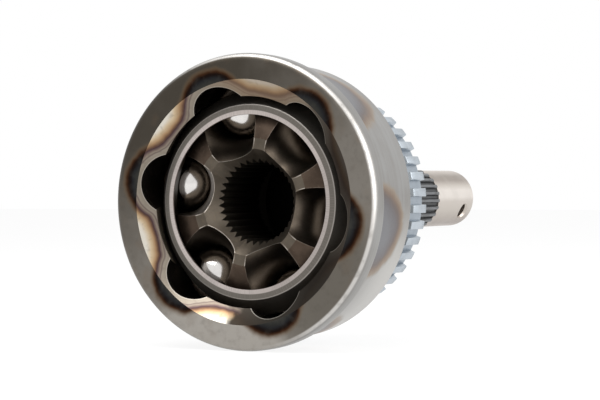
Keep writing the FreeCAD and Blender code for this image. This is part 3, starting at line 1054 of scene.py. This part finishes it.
class StarPiece(bpy.types.Operator):
    """Star shaped inner race with six tracks and a splined bore"""
    bl_idname = "ball_joint.star"
    bl_label = "Star"

    def execute(self, context):
        part = context.scene.ball_joint
        star, tracks, colours = part.star, part.tracks, part.colours
        mm = in_mm(star)
        half = mm.width / 2
        countersink_angle, chamfer_angle = 36.9, 73.0
        bar_start, bar_end = -55.0, 39.0
        slope = math.tan(math.radians(countersink_angle))
        rim = meets_sphere(-half, mm.face, chamfer_angle, mm.sphere)
        past_rim = (rim[0] + 0.5, math.sqrt(mm.sphere ** 2 - (rim[0] + 0.5) ** 2))
        front_ring = (-half + (mm.countersink - mm.minor) / slope, mm.minor)
        back_ring = (half - (mm.back_chamfer - mm.minor), mm.minor)
        profile = rounded([front_ring, (-half, mm.countersink, 0.2), (-half, mm.face, 0.15),
                           rim + (0.3,), past_rim], 2)
        profile += sphere_points(mm.sphere, rim[0] + 1.0, -rim[0] - 1.0, 22)
        profile += rounded([(-past_rim[0], past_rim[1]), (-rim[0], rim[1], 0.3), (half, mm.face, 0.15),
                            (half, mm.back_chamfer, 0.2), back_ring], 2)
        obj = turned("star_race", profile, BORE_COLUMNS * star.teeth, closed=True)
        self.cut_bore_spline(obj, mm, star.teeth, front_ring, back_ring, slope)
        cut_at_tracks(obj, track_tube(tracks, True, bar_start, bar_end), tracks)

        def in_track(place, normal):
            return abs(off_track(place, tracks, True)) < ON_TRACK

        def in_bore(place, normal):
            radius, x = radius_of(place), place.x / MM
            in_notches = radius < mm.major + NEAR and x > 1.0 - half
            on_countersink = normal.x < -0.3 and radius > mm.minor + 0.05
            return radius < mm.back_chamfer + 0.1 and (x > 0.0 or (in_notches and not on_countersink))

        dress(obj, forged_finish(colours, tracks),
              (ground_finish("star_track", colours.star_groove, 0.75, 1.15, 0.26), in_track),
              (bore_finish(colours), in_bore),
              (star_face_finish(colours, tracks), lambda place, normal: radius_of(place) < mm.face + NEAR))
        hand_over(obj, "inner_race")
        return {"FINISHED"}

    def cut_bore_spline(self, obj, mm, teeth, front_ring, back_ring, slope):
        """Opens the notches between the bore's teeth, up to where they run out in its cones."""
        step = 360.0 / teeth / BORE_COLUMNS
        depth = mm.major - mm.minor
        for column in range(2, 6):
            rise = depth * (column - 1) / 4

            def in_notch(place, x):
                off = abs(off_step(turn_of(place), BORE_COLUMNS * step)) / step
                near = abs(place.x / MM - x) < NEAR and abs(off - column) < 0.5
                return near and radius_of(place) < mm.minor + NEAR

            move_ring(obj, lambda place: in_notch(place, front_ring[0]), front_ring,
                      (front_ring[0] - rise / slope, front_ring[1] + rise))
            move_ring(obj, lambda place: in_notch(place, back_ring[0]), back_ring,
                      (back_ring[0] + rise, back_ring[1] + rise))


class BallPieces(bpy.types.Operator):
    """The six balls"""
    bl_idname = "ball_joint.balls"
    bl_label = "Balls"

    def execute(self, context):
        part = context.scene.ball_joint
        finish = ball_finish(part.colours)
        deselect()
        bpy.ops.mesh.primitive_cube_add(size=1, location=(0, 0, 0))
        master = context.object
        bpy.ops.object.mode_set(mode="EDIT")
        bpy.ops.mesh.select_all(action="SELECT")
        bpy.ops.mesh.subdivide(number_cuts=23)
        bpy.ops.transform.tosphere(value=1.0, center_override=(0, 0, 0))
        bpy.ops.object.mode_set(mode="OBJECT")
        size = part.tracks.ball_radius / master.data.vertices[0].co.length
        for number, angle in enumerate(track_angles(part.tracks)):
            ball = master.copy()
            ball.data = master.data.copy()
            ball.name = ball.data.name = "steel_ball_%d" % (number + 1)
            context.collection.objects.link(ball)
            turn = math.radians(angle)
            ball.location = Vector((0, -math.sin(turn), math.cos(turn))) * part.tracks.ball_circle
            ball.scale = (size, size, size)
            settle(ball)
            dress(ball, finish)
            hand_over(ball, "ball_%d" % (number + 1))
        bpy.data.objects.remove(master)
        return {"FINISHED"}


class StagePiece(bpy.types.Operator):
    """Floor, soft lamps, white surroundings and the camera"""
    bl_idname = "ball_joint.stage"
    bl_label = "Stage"

    def execute(self, context):
        self.floor(context)
        self.surroundings(context)
        self.lamp((-0.30, 0.10, 0.75), 0.7, 5.0)
        self.lamp((0.05, -0.85, 0.30), 0.9, 8.0)
        self.camera(context)
        context.scene.view_settings.view_transform = "Standard"
        return {"FINISHED"}

    def floor(self, context):
        """Pale floor under the bell, lit like the surroundings where the camera sees it."""
        deselect()
        bpy.ops.mesh.primitive_plane_add(size=6, location=(0, 0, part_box("outer_race")[0].z))
        floor = context.object
        floor.name = floor.data.name = "floor"
        settle(floor)
        finish = Finish("floor_white", metallic=0.0)
        glow = finish.add("ShaderNodeEmission", {}, {"Color": WHITE, "Strength": 1.08})
        finish.blend(finish.rays("Is Camera Ray", "Is Glossy Ray") * 0.8, finish.steel, glow)
        floor.data.materials.append(finish.done(linear(240, 240, 240), 0.8))

    def surroundings(self, context):
        """White for what is seen and reflected, and dimmer as a light."""
        world = bpy.data.worlds.new("studio")
        context.scene.world = world
        world.use_nodes = True
        nodes = Nodes(world.node_tree, "ShaderNodeOutputWorld")
        light, seen = (nodes.add("ShaderNodeBackground", {}, {"Color": WHITE, "Strength": strength})
                       for strength in (0.55, 1.0))
        nodes.blend(nodes.rays("Is Camera Ray", "Is Glossy Ray", "Is Transmission Ray"), light, seen)

    def lamp(self, place, size, energy):
        """Square soft lamp that points at the joint's centre."""
        deselect()
        turn = (-Vector(place)).to_track_quat("-Z", "Y").to_euler()
        bpy.ops.object.light_add(type="AREA", location=place, rotation=turn)
        bpy.context.object.data.size = size
        bpy.context.object.data.energy = energy

    def camera(self, context):
        deselect()
        bpy.ops.object.camera_add(location=(0, 0, 0))
        camera = context.object
        forward, up = Vector((0.88153, 0.47206, -0.00775)), Vector((0.0099, 0.0, 0.99995))
        right = forward.cross(up).normalized()
        up = right.cross(forward).normalized()
        turn = Matrix((right, up, -forward)).transposed().to_4x4()
        camera.matrix_world = Matrix.Translation((-0.5362, -0.2963, 0.0052)) @ turn
        camera.data.sensor_width = 36.0
        camera.data.lens = 120.0
        camera.data.clip_start = 0.01
        context.scene.camera = camera


class BallJoint(bpy.types.PropertyGroup):
    """Everything that the sidebar shows."""
    tracks: bpy.props.PointerProperty(type=TrackSizes)
    bell: bpy.props.PointerProperty(type=BellSizes)
    shaft: bpy.props.PointerProperty(type=ShaftSizes)
    ring: bpy.props.PointerProperty(type=RingSizes)
    cage: bpy.props.PointerProperty(type=CageSizes)
    star: bpy.props.PointerProperty(type=StarSizes)
    colours: bpy.props.PointerProperty(type=FinishColours)


class BallJointPanel(bpy.types.Panel):
    """Sizes, colours and pieces of the joint"""
    bl_idname = "VIEW3D_PT_ball_joint"
    bl_label = "Ball joint"
    bl_space_type = "VIEW_3D"
    bl_region_type = "UI"
    bl_category = "Ball joint"

    def draw(self, context):
        for piece in PIECES:
            self.layout.operator(piece.bl_idname)
        part = context.scene.ball_joint
        for title in BallJoint.__annotations__:
            group = getattr(part, title)
            box = self.layout.box()
            box.label(text=title.capitalize())
            for key in group.__annotations__:
                box.prop(group, key)


GROUPS = (TrackSizes, BellSizes, ShaftSizes, RingSizes, CageSizes, StarSizes, FinishColours, BallJoint)
PIECES = (BellPiece, SensorRingPiece, CagePiece, StarPiece, BallPieces, StagePiece)


def register():
    for group in GROUPS + PIECES + (BallJointPanel,):
        bpy.utils.register_class(group)
    bpy.types.Scene.ball_joint = bpy.props.PointerProperty(type=BallJoint)


def unregister():
    del bpy.types.Scene.ball_joint
    for group in reversed(GROUPS + PIECES + (BallJointPanel,)):
        bpy.utils.unregister_class(group)


def main():
    register()
    bpy.ops.ball_joint.bell()
    bpy.ops.ball_joint.sensor_ring()
    bpy.ops.ball_joint.cage()
    bpy.ops.ball_joint.star()
    bpy.ops.ball_joint.balls()
    bpy.ops.ball_joint.stage()
    deselect()


if __name__ == "__main__":
    main()
